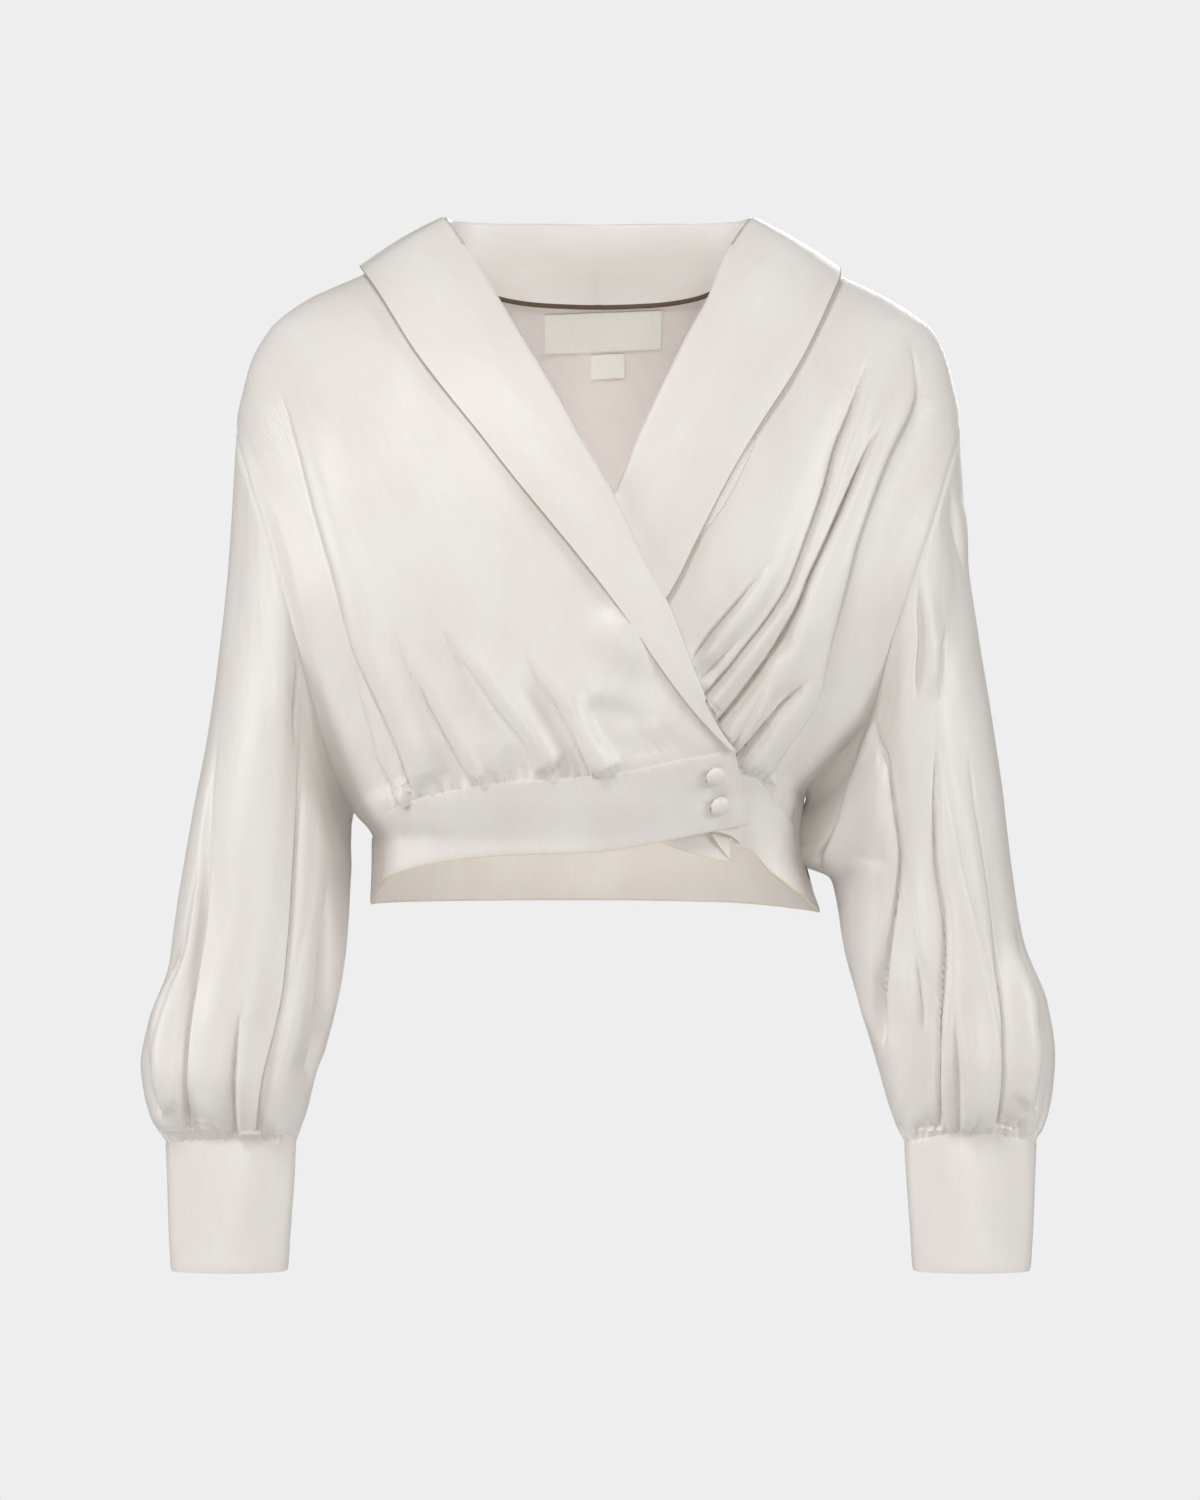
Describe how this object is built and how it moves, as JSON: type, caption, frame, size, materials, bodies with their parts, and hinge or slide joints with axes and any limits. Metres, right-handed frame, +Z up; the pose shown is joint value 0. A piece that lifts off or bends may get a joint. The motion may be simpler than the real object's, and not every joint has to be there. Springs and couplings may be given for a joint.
{
  "type": "shawl collar blouse",
  "caption": "Cropped wrap blouse in ivory satin with a shawl collar, long gathered sleeves, deep cuffs and a buttoned waistband, filled out as if worn.",
  "frame": {"origin": "midway between the tops of the shoulders, where the wearer carries the blouse", "axes": "+X to the wearer's left, +Y to the wearer's back, +Z up; the front faces -Y"},
  "size_m": [0.6025, 0.2463, 0.6957],
  "materials": {
    "satin": "ivory satin weave with a soft sheen",
    "button_satin": "the same satin stretched over button moulds",
    "label_cloth": "blank woven ribbon"
  },
  "bodies": {
    "root": {"back": "satin", "front_right": "satin", "front_left": "satin", "sleeve_right": "satin", "sleeve_left": "satin", "cuff_right": "satin", "cuff_left": "satin", "collar_right": "satin", "collar_left": "satin", "band_back": "satin", "band_front_right": "satin", "band_front_left": "satin", "button_upper": "button_satin", "button_lower": "button_satin", "label_main": "label_cloth", "label_size": "label_cloth"}
  },
  "joints": []
}
